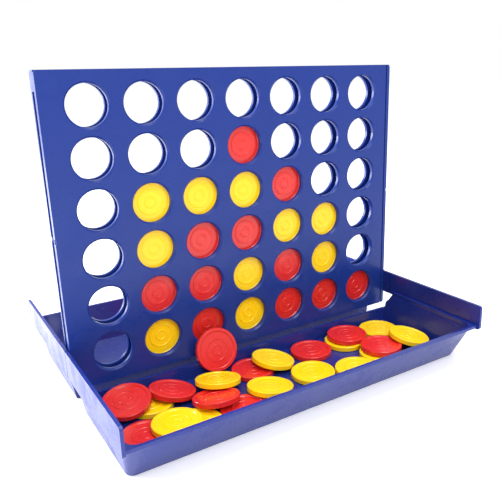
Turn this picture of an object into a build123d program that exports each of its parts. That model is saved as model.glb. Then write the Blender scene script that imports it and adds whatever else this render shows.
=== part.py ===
"""Folding four-in-a-row table game: a pierced rack on two pins between two disc trays.

Millimetres. X runs along the rack, Y from the front tray (-Y) to the rear tray (+Y), Z up.
The origin is on the table, under the middle of the rack.
"""
import os
from math import asin, cos, degrees, hypot, radians, sin

from build123d import *

# ---- discs ----
DISC_DIAMETER = 30.4
DISC_THICKNESS = 3.6
DISC_EDGE_ROUND = 0.4
DISC_RIM_WIDTH = 2.1
DISC_FACE_DEPTH = 0.6          # how far the faces lie below the rim
DISC_RING_RADII = (2.6, 7.0)   # inner edges of the raised rings on each face
DISC_RING_WIDTH = 1.5
DISC_RING_SLOPE = 0.3
DISC_RELIEF = 0.3              # height of the rings above the face

# ---- rack grid ----
COLUMNS = 7
ROWS = 6
DIVIDER_WIDTH = 2.6
SLOT_SIDE_CLEARANCE = 0.5      # disc to divider, each side
STACK_GAP = 0.2                # disc to disc in a column
HOLE_MARGIN = 2.7              # how much of the disc's edge the plate covers
HOLE_BEVEL = 1.1
COLLAR_WIDTH = 1.6
COLLAR_HEIGHT = 0.8            # ring round each hole, on the plate's inner face

# ---- rack plates ----
PLATE_WALL = 2.4
SLOT_FACE_CLEARANCE = 0.7      # disc to collar, each side
SIDE_MARGIN = 10.0             # outer column to the rack's side edge
TOP_MARGIN = 4.7               # top disc to the rack's top edge
PLATE_CORNER_RADIUS = 2.0
EDGE_LIP = 1.6                 # strip of the end rail behind the front plate's edge
BLOCK_HEIGHT = 11.5            # block that joins the two plates at each top corner
GROOVE_WIDTH = 1.3
GROOVE_DEPTH = 0.7
GROOVE_INSET = 3.2             # groove to the rack's side edge
DETENT_HEIGHT = 2.8
DETENT_DEPTH = 0.4

# ---- release bar ----
BAR_HEIGHT = 3.7
BAR_CLEARANCE = 0.15
BAR_WALL = 0.8
BAR_STOP_WIDTH = 3.0           # the bridge under each column that holds its discs up
BAR_TAIL = 3.5                 # bar beyond its last bridge, at each end
LIP_THICKNESS = 0.8            # inward lip under the bar, on each plate
LIP_WIDTH = 1.0
NUB_HEIGHT = 1.6
NUB_WIDTH = 2.6

# ---- trays ----
WALL = 2.0
LID_CLEARANCE = 0.95           # the rack, laid flat, to each ledge
RACK_LIFT = 14.7               # table to the rack's lower edge
FLOOR_SETBACK = 15.3           # tub floor's far edge to the ledge's far edge
LEDGE_SETBACK = 2.0            # ledge's far edge to the side plate's end
LEDGE_WIDTH = 5.7
LEDGE_Z = 27.1
SIDE_FLARE = 4.2               # how much the tub's sides lean out over their height
SIDE_RIM = 0.5                 # inner face of a side plate to the tub's mouth
TUB_CORNER_FLOOR = 5.0
TUB_CORNER_MOUTH = 9.0
MOUTH_CORNER = 7.0             # corner of the opening between the ledges
TUB_EDGE_ROUND = 1.2
INNER_WALL_Y = 10.6            # rack's middle plane to a tub's near wall
INNER_WALL_HEIGHT = 12.6
SIDE_PLATE_TOP = 41.8
SIDE_PLATE_BOTTOM = 23.9
SIDE_PLATE_CLEARANCE = 0.7     # rack's side edge to a side plate
SIDE_CORNER_RADIUS = 2.2
RIDGE_SPAN = (80.0, 86.0)      # snap ridge, measured from the rack's middle plane
RIDGE_HEIGHT = 1.0
RIDGE_DEPTH = 0.4

# ---- lap joints and pins ----
SEAM_Y = 4.7
SEAM_GAP = 0.8
LAP_REACH = 12.0
LAP_CLEARANCE = 0.1
PIN_Z = 33.4
PIN_DIAMETER = 3.2
PIN_FIT = 0.05                 # radial
PIN_SKIN = 0.5                 # outer lap left over a pin's end
SWEEP_CLEARANCE = 0.8          # the rack's foot, as it swings, to the tubs' sides
PIN_REACH = 3.6                # pin inside the rack's boss
BOSS_HEIGHT = 10.8

# ---- worked-out sizes ----
DISC_RADIUS = DISC_DIAMETER / 2
COLUMN_PITCH = DISC_DIAMETER + 2 * SLOT_SIDE_CLEARANCE + DIVIDER_WIDTH
ROW_PITCH = DISC_DIAMETER + STACK_GAP
HOLE_RADIUS = DISC_RADIUS - HOLE_MARGIN
HALF_SLOT = DISC_THICKNESS / 2 + SLOT_FACE_CLEARANCE
PLATE_INNER_Y = HALF_SLOT + COLLAR_HEIGHT
PLATE_OUTER_Y = PLATE_INNER_Y + PLATE_WALL
RACK_HALF_WIDTH = COLUMNS * COLUMN_PITCH / 2 + SIDE_MARGIN
BAR_Z = RACK_LIFT + LIP_THICKNESS + BAR_CLEARANCE
BAR_TOP = BAR_Z + BAR_HEIGHT
FIRST_ROW_Z = BAR_TOP + BAR_CLEARANCE + DISC_RADIUS
RACK_TOP = FIRST_ROW_Z + (ROWS - 1) * ROW_PITCH + DISC_RADIUS + TOP_MARGIN
RACK_HEIGHT = RACK_TOP - RACK_LIFT
COLUMN_X = [(c - (COLUMNS - 1) / 2) * COLUMN_PITCH for c in range(COLUMNS)]
SIDE_INNER_X = RACK_HALF_WIDTH + SIDE_PLATE_CLEARANCE
SIDE_OUTER_X = SIDE_INNER_X + WALL
MOUTH_Y = RACK_HEIGHT / 2 + LID_CLEARANCE
LEDGE_Y = MOUTH_Y + LEDGE_WIDTH
TRAY_DEPTH = LEDGE_Y + LEDGE_SETBACK
NEAR_WALL_FACE = INNER_WALL_Y + WALL
FOOT_SWEEP = hypot(PIN_Z - RACK_LIFT, PLATE_OUTER_Y) + SWEEP_CLEARANCE
MOUTH_HALF_X = SIDE_INNER_X - SIDE_RIM
FLOOR_HALF_X = MOUTH_HALF_X - SIDE_FLARE
FLOOR_Y = LEDGE_Y - FLOOR_SETBACK
CUT = 1.0                      # how far a cutting solid runs past a face

# Discs standing in the columns, left to right, each column from the bottom up.
STACKS = ["", "YRYY", "RRRY", "YYRYR", "RRYR", "RYY", "R"]

# Loose discs in the front tray, in disc sizes so that the pile holds together: distance
# right of the middle and out from the tub's near wall in disc diameters, height of the lowest
# edge in layers of discs, rise of the high edge above it in disc thicknesses, and the
# direction of the low edge in degrees from +X.
LOOSE = {
    "red": [
        (-3.44, 0.57, 0.90, 1.90, -120),
        (-2.43, 0.52, 0.10, 1.75, 10),
        (-3.45, 1.64, 0, 0, 0),
        (-1.81, 1.36, 0.25, 1.75, 80),
        (-1.44, 1.88, 0, 0, 0),
        (-0.44, 0.53, 0, 0, 0),
        (1.21, 0.52, 0, 0, 0),
        (2.34, 0.52, 1, 0, 0),
        (2.62, 1.49, 1, 0, 0),
    ],
    "yellow": [
        (-2.96, 0.57, 0, 0, 0),
        (-2.86, 1.76, 1, 0, 0),
        (-2.45, 1.82, 0, 0, 0),
        (-1.44, 0.72, 0.28, 1.75, 60),
        (0.08, 0.57, 0.17, 1.75, -10),
        (-0.62, 1.56, 0.10, 1.25, 40),
        (0.59, 1.46, 0, 0, 0),
        (2.22, 0.57, 0, 0, 0),
        (3.38, 0.54, 0, 0, 0),
        (3.46, 1.58, 0.70, 1.75, -30),
        (2.50, 1.60, 0, 0, 0),
        (1.53, 1.88, 0, 0, 0),
    ],
}
LOOSE_GAP = 0.1                # disc to disc, and disc to floor
LEANING_SPOT = -1.09           # disc diameters from the middle
LEANING_LAYER = 0.40           # layers above the floor
LEANING_TILT = 72              # degrees from flat


def box(x0, x1, y0, y1, z0, z1):
    """A block between two corners."""
    block = Box(x1 - x0, y1 - y0, z1 - z0, align=(Align.MIN, Align.MIN, Align.MIN))
    return Pos(x0, y0, z0) * block


def rod(x0, x1, radius, z=PIN_Z):
    """A round bar along X, on the rack's middle plane."""
    bar = Cylinder(radius, x1 - x0, align=(Align.CENTER, Align.CENTER, Align.MIN))
    return Pos(x0, 0, z) * Rot(0, 90, 0) * bar


def across_y(x, z, y0, y1, radius, far_radius=None):
    """A round bar or cone along Y, from y0 to y1."""
    end = radius if far_radius is None else far_radius
    if end == radius:
        bar = Cylinder(radius, y1 - y0, align=(Align.CENTER, Align.CENTER, Align.MIN))
    else:
        bar = Cone(radius, end, y1 - y0, align=(Align.CENTER, Align.CENTER, Align.MIN))
    return Pos(x, y0, z) * Rot(-90, 0, 0) * bar


# ---- discs ----

def make_disc():
    """One disc, flat on its own centre: a raised rim, sunk faces and raised rings."""
    rim_z = DISC_THICKNESS / 2
    face_z = rim_z - DISC_FACE_DEPTH
    well = DISC_RADIUS - DISC_RIM_WIDTH
    half = [(0, face_z)]
    for radius in DISC_RING_RADII:
        half.append((radius, face_z))
        half.append((radius + DISC_RING_SLOPE, face_z + DISC_RELIEF))
        half.append((radius + DISC_RING_WIDTH - DISC_RING_SLOPE, face_z + DISC_RELIEF))
        half.append((radius + DISC_RING_WIDTH, face_z))
    half.append((well - DISC_FACE_DEPTH, face_z))
    half.append((well, rim_z))
    half.append((DISC_RADIUS - DISC_EDGE_ROUND, rim_z))
    half.append((DISC_RADIUS, rim_z - DISC_EDGE_ROUND))
    under = [(radius, -z) for radius, z in reversed(half)]
    profile = Plane.XZ * make_face(Polyline(*half, *under, close=True))
    return revolve(profile, Axis.Z)


def layer_height(layers):
    """Height of a disc's lowest edge when it lies so many discs up the pile."""
    return WALL + LOOSE_GAP + layers * (DISC_THICKNESS + LOOSE_GAP)


def centre_above_edge(tilt):
    """Height of a tilted disc's centre above its lowest edge."""
    return DISC_RADIUS * sin(tilt) + DISC_THICKNESS / 2 * cos(tilt)


def loose_place(along, out, layers, rise, facing):
    """Where a loose disc of the pile lies."""
    tilt = asin(rise * DISC_THICKNESS / DISC_DIAMETER)
    spot = Pos(along * DISC_DIAMETER, -NEAR_WALL_FACE - out * DISC_DIAMETER,
               layer_height(layers) + centre_above_edge(tilt))
    return spot * Rot(0, 0, facing) * Rot(0, degrees(tilt), 0)


def leaning_place():
    """The disc that leans back on the top edge of the tub's near wall."""
    tilt = radians(LEANING_TILT)
    height = layer_height(LEANING_LAYER) + centre_above_edge(tilt)
    back = DISC_THICKNESS / 2 + 2 * LOOSE_GAP
    behind = (back + (INNER_WALL_HEIGHT - height) * cos(tilt)) / sin(tilt)
    spot = Pos(LEANING_SPOT * DISC_DIAMETER, -NEAR_WALL_FACE - behind, height)
    return spot * Rot(0, 0, -90) * Rot(0, LEANING_TILT, 0)


def disc_places():
    """Node name to placement, for every disc."""
    places = {}
    for column, stack in enumerate(STACKS):
        for row, letter in enumerate(stack):
            colour = "red" if letter == "R" else "yellow"
            z = FIRST_ROW_Z + row * ROW_PITCH
            name = f"disc_{colour}_column{column + 1}_row{row + 1}"
            places[name] = Pos(COLUMN_X[column], 0, z) * Rot(90, 0, 0)
    for colour, spots in LOOSE.items():
        for number, spot in enumerate(spots, 1):
            places[f"disc_{colour}_loose_{number:02d}"] = loose_place(*spot)
    places["disc_red_leaning"] = leaning_place()
    return places


# ---- rack ----

def hole_spots():
    """Centres of the rack's holes."""
    return [(x, FIRST_ROW_Z + row * ROW_PITCH) for x in COLUMN_X for row in range(ROWS)]


def make_plate():
    """The front plate: pierced, with a bevel outside and a collar inside each hole."""
    outline = RectangleRounded(2 * RACK_HALF_WIDTH, RACK_HEIGHT, PLATE_CORNER_RADIUS)
    slab = Rot(90, 0, 0) * extrude(outline, PLATE_WALL)
    plate = Pos(0, -PLATE_INNER_Y, RACK_LIFT + RACK_HEIGHT / 2) * slab
    plate += box(-RACK_HALF_WIDTH + SIDE_MARGIN, RACK_HALF_WIDTH - SIDE_MARGIN,
                 -PLATE_INNER_Y, -PLATE_INNER_Y + LIP_WIDTH, RACK_LIFT, RACK_LIFT + LIP_THICKNESS)
    collars = [across_y(x, z, -PLATE_INNER_Y, -HALF_SLOT, HOLE_RADIUS + COLLAR_WIDTH)
               for x, z in hole_spots()]
    plate += collars
    holes = [across_y(x, z, -PLATE_OUTER_Y - CUT, -HALF_SLOT + CUT, HOLE_RADIUS)
             for x, z in hole_spots()]
    plate -= holes
    bevels = [across_y(x, z, -PLATE_OUTER_Y, -PLATE_OUTER_Y + HOLE_BEVEL,
                       HOLE_RADIUS + HOLE_BEVEL, HOLE_RADIUS) for x, z in hole_spots()]
    plate -= bevels
    plate -= detents(-PLATE_OUTER_Y)
    return plate


def detents(y):
    """Shallow notches half way up a plate's side edges, at the face y."""
    middle = RACK_LIFT + RACK_HEIGHT / 2
    cuts = []
    for side in (-1, 1):
        notch = Box(2 * DETENT_DEPTH, 2 * PLATE_WALL, DETENT_HEIGHT)
        cuts.append(Pos(side * RACK_HALF_WIDTH, y, middle) * notch)
    return cuts


def make_front_plate():
    """The front plate has a groove along its right side."""
    plate = make_plate()
    groove_x = RACK_HALF_WIDTH - GROOVE_INSET
    return plate - box(groove_x - GROOVE_WIDTH / 2, groove_x + GROOVE_WIDTH / 2,
                       -PLATE_OUTER_Y - CUT, -PLATE_OUTER_Y + GROOVE_DEPTH,
                       RACK_LIFT - CUT, RACK_TOP + CUT)


def make_rear_plate():
    """The same plate, turned to face the rear."""
    return Rot(0, 0, 180) * make_plate()


def make_dividers():
    """The strips between the columns, from plate to plate."""
    bottom = BAR_TOP + BAR_CLEARANCE
    strips = []
    for x in COLUMN_X[:-1]:
        middle = x + COLUMN_PITCH / 2
        strips.append(box(middle - DIVIDER_WIDTH / 2, middle + DIVIDER_WIDTH / 2,
                          -PLATE_INNER_Y, PLATE_INNER_Y, bottom, RACK_TOP))
    return Compound(children=strips)


def make_end_rail(side):
    """The rack's side: a web beside the outer column, a lip behind the front plate's
    edge, the top corner block and the boss that turns on the pin."""
    web = RACK_HALF_WIDTH - SIDE_MARGIN
    edge = RACK_HALF_WIDTH
    bottom = BAR_TOP + BAR_CLEARANCE
    rail = box(web, web + DIVIDER_WIDTH, -PLATE_INNER_Y, PLATE_INNER_Y, bottom, RACK_TOP)
    rail += box(web, edge, -PLATE_INNER_Y, -PLATE_INNER_Y + EDGE_LIP, bottom, RACK_TOP)
    rail += box(web, edge, -PLATE_INNER_Y, PLATE_INNER_Y, RACK_TOP - BLOCK_HEIGHT, RACK_TOP)
    rail += box(web, edge, -PLATE_INNER_Y, PLATE_INNER_Y,
                PIN_Z - BOSS_HEIGHT / 2, PIN_Z + BOSS_HEIGHT / 2)
    rail -= rod(edge - PIN_REACH - CUT, edge + CUT, PIN_DIAMETER / 2 + PIN_FIT)
    return rail if side > 0 else mirror(rail, about=Plane.YZ)


def make_release_bar():
    """Slides sideways by half a column, so that its openings come under the discs."""
    half_depth = PLATE_INNER_Y - BAR_CLEARANCE
    right = COLUMN_X[-1] + BAR_STOP_WIDTH / 2 + BAR_TAIL
    left = -right
    bar = box(left, right, -half_depth, half_depth, BAR_Z, BAR_TOP)
    for x in COLUMN_X[:-1]:
        bar -= box(x + BAR_STOP_WIDTH / 2, x + COLUMN_PITCH - BAR_STOP_WIDTH / 2,
                   -half_depth + BAR_WALL, half_depth - BAR_WALL, BAR_Z - CUT, BAR_TOP + CUT)
    nub_half = PLATE_INNER_Y - LIP_WIDTH - BAR_CLEARANCE
    for x in (left, right - NUB_WIDTH):
        bar += box(x, x + NUB_WIDTH, -nub_half, nub_half, RACK_LIFT - NUB_HEIGHT, BAR_Z)
    return bar


# ---- trays ----

def tub_solid(inset, floor_z):
    """The tub's flared body, drawn in by inset, from floor_z up to the ledge."""
    sections = []
    for z, half_x, near, far, corner in (
            (0.0, FLOOR_HALF_X, INNER_WALL_Y, FLOOR_Y, TUB_CORNER_FLOOR),
            (LEDGE_Z, MOUTH_HALF_X, INNER_WALL_Y, LEDGE_Y, TUB_CORNER_MOUTH)):
        width = 2 * (half_x - inset)
        depth = far - near - 2 * inset
        outline = RectangleRounded(width, depth, corner - inset)
        sections.append(Pos(0, -(near + far) / 2, z) * outline)
    body = loft(sections)
    return body - box(-SIDE_OUTER_X, SIDE_OUTER_X, -TRAY_DEPTH, 0, -CUT, floor_z)


def square_near_corners(inset):
    """Fills the tub's two rounded corners beside the rack, where the real ones are square."""
    reach = TUB_CORNER_MOUTH
    half_floor = FLOOR_HALF_X - inset
    half_mouth = MOUTH_HALF_X - inset
    middle_y = -INNER_WALL_Y - inset - reach / 2
    floor = Pos(0, middle_y, 0) * Rectangle(2 * half_floor, reach)
    mouth = Pos(0, middle_y, LEDGE_Z) * Rectangle(2 * half_mouth, reach)
    return loft([floor, mouth])


def side_plate(side):
    """One side plate of the front tray. The right one is long, the left one has a tongue."""
    far = -TRAY_DEPTH
    if side > 0:
        near = SEAM_Y - SEAM_GAP
    else:
        near = -SEAM_Y
    profile = box(SIDE_INNER_X, SIDE_OUTER_X, far, near, SIDE_PLATE_BOTTOM, SIDE_PLATE_TOP)
    corner = profile.edges().filter_by(Axis.X).group_by(Axis.Y)[0]
    plate = fillet(corner, SIDE_CORNER_RADIUS)
    middle = (SIDE_INNER_X + SIDE_OUTER_X) / 2
    if side > 0:
        plate -= box(SIDE_INNER_X - CUT, middle + LAP_CLEARANCE / 2, -LAP_REACH - SEAM_GAP,
                     near + CUT, SIDE_PLATE_BOTTOM - CUT, SIDE_PLATE_TOP + CUT)
    else:
        plate += box(SIDE_INNER_X, middle - LAP_CLEARANCE / 2, near - CUT, LAP_REACH,
                     SIDE_PLATE_BOTTOM, SIDE_PLATE_TOP)
    plate -= rod(SIDE_INNER_X - CUT, SIDE_OUTER_X - PIN_SKIN, PIN_DIAMETER / 2 + PIN_FIT)
    start, end = RIDGE_SPAN
    ridge = box(SIDE_INNER_X - RIDGE_DEPTH, SIDE_INNER_X, -end, -start,
                PIN_Z - RIDGE_HEIGHT / 2, PIN_Z + RIDGE_HEIGHT / 2)
    plate += ridge
    return plate if side > 0 else mirror(plate, about=Plane.YZ)


def make_front_tray():
    """Tub, ledge and side plates in one moulding."""
    tub = tub_solid(0, 0.0) + square_near_corners(0)
    edges = tub.faces().sort_by(Axis.Z)[0].edges()
    tub = fillet(edges.group_by(Axis.Y)[0], TUB_EDGE_ROUND)
    floor_slab = box(-SIDE_OUTER_X, SIDE_OUTER_X, -TRAY_DEPTH, 0, -CUT, WALL)
    hollow = tub_solid(WALL, WALL) + (square_near_corners(WALL) - floor_slab)
    shelf_bottom = LEDGE_Z - WALL
    ledge = box(-SIDE_OUTER_X, SIDE_OUTER_X, -LEDGE_Y, -NEAR_WALL_FACE, shelf_bottom, LEDGE_Z)
    tray = tub + ledge - hollow
    mouth = RectangleRounded(2 * (MOUTH_HALF_X - WALL), MOUTH_Y, MOUTH_CORNER)
    tray -= extrude(Pos(0, -MOUTH_Y / 2, shelf_bottom - CUT) * mouth, WALL + 2 * CUT)
    tray -= box(-SIDE_OUTER_X - CUT, SIDE_OUTER_X + CUT, -NEAR_WALL_FACE, CUT,
                INNER_WALL_HEIGHT, LEDGE_Z + CUT)
    tray -= rod(-SIDE_INNER_X, SIDE_INNER_X, FOOT_SWEEP)
    tray += side_plate(-1)
    tray += side_plate(1)
    return tray


def make_rear_tray():
    """The same moulding, turned half a turn."""
    return Rot(0, 0, 180) * make_front_tray()


def make_pin(side):
    """A plain pin from the rack's boss into both laps, under the outer lap's skin."""
    pin = rod(RACK_HALF_WIDTH - PIN_REACH, SIDE_OUTER_X - PIN_SKIN - PIN_FIT, PIN_DIAMETER / 2)
    return pin if side > 0 else mirror(pin, about=Plane.YZ)


def build():
    """Node name to solid, for the whole object."""
    nodes = {
        "front_tray": make_front_tray(),
        "rear_tray": make_rear_tray(),
        "rack_front_plate": make_front_plate(),
        "rack_rear_plate": make_rear_plate(),
        "rack_dividers": make_dividers(),
        "rack_end_rail_left": make_end_rail(-1),
        "rack_end_rail_right": make_end_rail(1),
        "release_bar": make_release_bar(),
        "pivot_pin_left": make_pin(-1),
        "pivot_pin_right": make_pin(1),
    }
    disc = make_disc()
    for name, place in disc_places().items():
        nodes[name] = place * disc
    return nodes


os.makedirs("parts", exist_ok=True)
for node_name, solid in build().items():
    export_step(solid, f"parts/{node_name}.step")
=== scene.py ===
"""Looks for the folding four-in-a-row game: moulded plastic, studio light and camera."""

import bpy
from mathutils import Matrix, Vector

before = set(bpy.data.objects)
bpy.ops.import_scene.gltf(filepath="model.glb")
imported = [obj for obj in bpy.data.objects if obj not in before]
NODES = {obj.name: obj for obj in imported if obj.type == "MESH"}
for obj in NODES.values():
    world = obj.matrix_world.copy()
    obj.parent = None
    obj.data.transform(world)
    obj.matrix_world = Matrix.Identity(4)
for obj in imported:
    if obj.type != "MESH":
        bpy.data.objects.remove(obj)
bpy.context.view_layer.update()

MM = 0.001

# ---- camera: place in metres, lens in millimetres ----
CAMERA_PLACE = Vector((-0.2014, -0.3591, 0.2040))
CAMERA_RIGHT = Vector((0.8348, -0.5502, -0.0194))
CAMERA_FORWARD = Vector((0.5234, 0.8040, -0.2822))
CAMERA_LENS = 43.15
CAMERA_SHIFT = (-0.066, -0.004)
CAMERA_NEAR_CLIP = 1 * MM

# ---- colours, linear ----
RACK_BLUE = (0.009, 0.030, 0.205)
TRAY_BLUE = (0.012, 0.026, 0.205)
DISC_RED = (0.680, 0.022, 0.018)
DISC_YELLOW = (0.980, 0.620, 0.005)
FLOOR_COLOUR = (0.90, 0.90, 0.90, 1.0)
WHITE = (1, 1, 1, 1)

# ---- floor and surroundings ----
FLOOR_REACH = 6.0              # metres from the middle to each side
FLOOR_DROP = 0.2 * MM          # keeps the floor just below the trays
FLOOR_ROUGHNESS = 0.85
FLOOR_GLOW = 0.22              # lifts the floor to the sweep's white
WORLD_STRENGTH = 1.0

# ---- plastic; noise scales are in cycles per metre ----
PLASTIC_IOR = 1.5
CLOUD_SCALE, CLOUD_DETAIL = 28, 3.0
SMUDGE_SCALE, SMUDGE_DETAIL = 60, 5.0
SMUDGE_RANGE = (0.42, 0.68)    # noise values where a smudge starts and is full
SMUDGE_DULLING = 0.16          # roughness that a full smudge adds
SKIN_SCALE, SKIN_DETAIL = 900, 2.0
SKIN_STRENGTH = 0.10
SKIN_HEIGHT = 0.08 * MM
SCRATCH_SCALE, SCRATCH_DETAIL = 240, 2.0
SCRATCH_STRETCH = (1.0, 0.06, 0.25)
SCRATCH_RANGE = (0.60, 0.72)   # noise values where a scratch starts and is full
SCRATCH_HEIGHT = 0.05 * MM

# ---- edges ----
EDGE_RADIUS = 0.15 * MM
EDGE_SEGMENTS = 2
EDGE_ANGLE = 0.6               # radians; edges that turn by less stay as they are


def add_camera():
    """The camera stands in front of the left end and looks down at the rack."""
    camera = bpy.data.objects.new("camera", bpy.data.cameras.new("camera"))
    bpy.context.scene.collection.objects.link(camera)
    right = CAMERA_RIGHT.normalized()
    back = -CAMERA_FORWARD.normalized()
    up = back.cross(right).normalized()
    right = up.cross(back)
    turn = Matrix((right, up, back)).transposed().to_4x4()
    camera.matrix_world = Matrix.Translation(CAMERA_PLACE) @ turn
    camera.data.lens = CAMERA_LENS
    camera.data.shift_x, camera.data.shift_y = CAMERA_SHIFT
    camera.data.clip_start = CAMERA_NEAR_CLIP
    bpy.context.scene.camera = camera


def add_area_light(name, place, target, size, watts):
    """A square white soft box that points at the target; places and size in metres."""
    light = bpy.data.lights.new(name, "AREA")
    light.size = size
    light.energy = watts
    lamp = bpy.data.objects.new(name, light)
    bpy.context.scene.collection.objects.link(lamp)
    lamp.location = place
    aim = Vector(target) - Vector(place)
    lamp.rotation_euler = aim.to_track_quat("-Z", "Y").to_euler()


def add_floor():
    """A pale floor that glows a little."""
    mesh = bpy.data.meshes.new("floor")
    corners = [(-FLOOR_REACH, -FLOOR_REACH, 0), (FLOOR_REACH, -FLOOR_REACH, 0),
               (FLOOR_REACH, FLOOR_REACH, 0), (-FLOOR_REACH, FLOOR_REACH, 0)]
    mesh.from_pydata(corners, [], [(0, 1, 2, 3)])
    floor = bpy.data.objects.new("floor", mesh)
    bpy.context.scene.collection.objects.link(floor)
    floor.location.z = -FLOOR_DROP
    paint = bpy.data.materials.new("floor_paint")
    paint.use_nodes = True
    shader = paint.node_tree.nodes["Principled BSDF"]
    shader.inputs["Base Color"].default_value = FLOOR_COLOUR
    shader.inputs["Roughness"].default_value = FLOOR_ROUGHNESS
    shader.inputs["Emission Color"].default_value = WHITE
    shader.inputs["Emission Strength"].default_value = FLOOR_GLOW
    floor.data.materials.append(paint)


def add_studio():
    """White surroundings and soft boxes; the strongest stands behind, on the left,
    where it shines along the trays' side plates and leaves the windows' rims dark."""
    world = bpy.data.worlds.new("studio")
    world.use_nodes = True
    background = world.node_tree.nodes["Background"]
    background.inputs["Color"].default_value = WHITE
    background.inputs["Strength"].default_value = WORLD_STRENGTH
    bpy.context.scene.world = world
    add_area_light("rear_left_softbox", place=(-0.9, 0.75, 0.35), target=(-0.1, 0, 0.05),
                   size=0.7, watts=34)
    add_area_light("front_softbox", place=(-0.1, -0.9, 1.1), target=(0, 0, 0.05),
                   size=0.7, watts=9)
    add_area_light("top_softbox", place=(0.1, 0.1, 1.2), target=(0, 0, 0.05),
                   size=0.6, watts=8)
    bpy.context.scene.view_settings.view_transform = "Standard"


class Plastic:
    """Moulded plastic: clouded colour, uneven gloss, orange-peel skin and fine scratches."""

    def __init__(self, name, colour, roughness, specular, shade_change, scratch_strength):
        self.material = bpy.data.materials.new(name)
        self.material.use_nodes = True
        self.tree = self.material.node_tree
        self.shader = self.tree.nodes["Principled BSDF"]
        self.shader.inputs["IOR"].default_value = PLASTIC_IOR
        self.shader.inputs["Specular IOR Level"].default_value = specular
        self.place = self.tree.nodes.new("ShaderNodeTexCoord").outputs["Object"]
        self.add_colour(colour, shade_change)
        self.add_roughness(roughness)
        self.add_bump(scratch_strength)

    def link(self, output, target):
        self.tree.links.new(output, target)

    def noise(self, scale, detail, stretch=None):
        """Noise; a stretch below 1 on an axis makes it longer along that axis."""
        texture = self.tree.nodes.new("ShaderNodeTexNoise")
        texture.inputs["Scale"].default_value = scale
        texture.inputs["Detail"].default_value = detail
        source = self.place
        if stretch:
            mapping = self.tree.nodes.new("ShaderNodeMapping")
            mapping.inputs["Scale"].default_value = stretch
            self.link(source, mapping.inputs["Vector"])
            source = mapping.outputs["Vector"]
        self.link(source, texture.inputs["Vector"])
        return texture.outputs["Fac"]

    def spread(self, value, low, high, to_low, to_high):
        """Maps a value's range to another, held at its ends."""
        node = self.tree.nodes.new("ShaderNodeMapRange")
        node.inputs["From Min"].default_value = low
        node.inputs["From Max"].default_value = high
        node.inputs["To Min"].default_value = to_low
        node.inputs["To Max"].default_value = to_high
        self.link(value, node.inputs["Value"])
        return node.outputs["Result"]

    def add_colour(self, colour, change):
        """Slow clouds of lighter and darker pigment."""
        mix = self.tree.nodes.new("ShaderNodeMix")
        mix.data_type = "RGBA"
        mix.inputs["A"].default_value = [c * (1 - change) for c in colour] + [1]
        mix.inputs["B"].default_value = [min(1, c * (1 + change)) for c in colour] + [1]
        self.link(self.noise(CLOUD_SCALE, CLOUD_DETAIL), mix.inputs["Factor"])
        self.link(mix.outputs["Result"], self.shader.inputs["Base Color"])

    def add_roughness(self, roughness):
        """Handled plastic: smudges dull the gloss in patches."""
        marks = self.noise(SMUDGE_SCALE, SMUDGE_DETAIL)
        smudges = self.spread(marks, *SMUDGE_RANGE, roughness, roughness + SMUDGE_DULLING)
        self.link(smudges, self.shader.inputs["Roughness"])

    def add_bump(self, scratch_strength):
        """A faint moulded skin with long hairline scratches over it."""
        skin = self.tree.nodes.new("ShaderNodeBump")
        skin.inputs["Strength"].default_value = SKIN_STRENGTH
        skin.inputs["Distance"].default_value = SKIN_HEIGHT
        self.link(self.noise(SKIN_SCALE, SKIN_DETAIL), skin.inputs["Height"])
        hair = self.tree.nodes.new("ShaderNodeBump")
        hair.inputs["Strength"].default_value = scratch_strength
        hair.inputs["Distance"].default_value = SCRATCH_HEIGHT
        marks = self.noise(SCRATCH_SCALE, SCRATCH_DETAIL, SCRATCH_STRETCH)
        lines = self.spread(marks, *SCRATCH_RANGE, 0.0, 1.0)
        self.link(lines, hair.inputs["Height"])
        self.link(skin.outputs["Normal"], hair.inputs["Normal"])
        self.link(hair.outputs["Normal"], self.shader.inputs["Normal"])


def paint(node, plastic):
    """Gives a CAD node its finish."""
    piece = NODES[node]
    if not piece.material_slots:
        piece.data.materials.append(plastic.material)
    for slot in piece.material_slots:
        slot.material = plastic.material


def soften(node):
    """Rounds a CAD node's sharp edges as its mould would."""
    bevel = NODES[node].modifiers.new("mould_radius", "BEVEL")
    bevel.width = EDGE_RADIUS
    bevel.segments = EDGE_SEGMENTS
    bevel.limit_method = "ANGLE"
    bevel.angle_limit = EDGE_ANGLE


def finish_nodes():
    """Sorts the CAD nodes to their plastics; the release bar's edges stay sharp."""
    rack = Plastic("rack_plastic", RACK_BLUE, roughness=0.24, specular=0.28,
                   shade_change=0.06, scratch_strength=0.18)
    tray = Plastic("tray_plastic", TRAY_BLUE, roughness=0.20, specular=0.40,
                   shade_change=0.06, scratch_strength=0.18)
    red = Plastic("red_disc", DISC_RED, roughness=0.18, specular=0.50,
                  shade_change=0.05, scratch_strength=0.15)
    yellow = Plastic("yellow_disc", DISC_YELLOW, roughness=0.18, specular=0.45,
                     shade_change=0.05, scratch_strength=0.15)
    for node in NODES:
        if node.startswith("disc_red"):
            paint(node, red)
        elif node.startswith("disc_yellow"):
            paint(node, yellow)
        elif node.startswith("rack"):
            paint(node, rack)
        else:
            paint(node, tray)
        if node != "release_bar":
            soften(node)


add_camera()
add_floor()
add_studio()
finish_nodes()
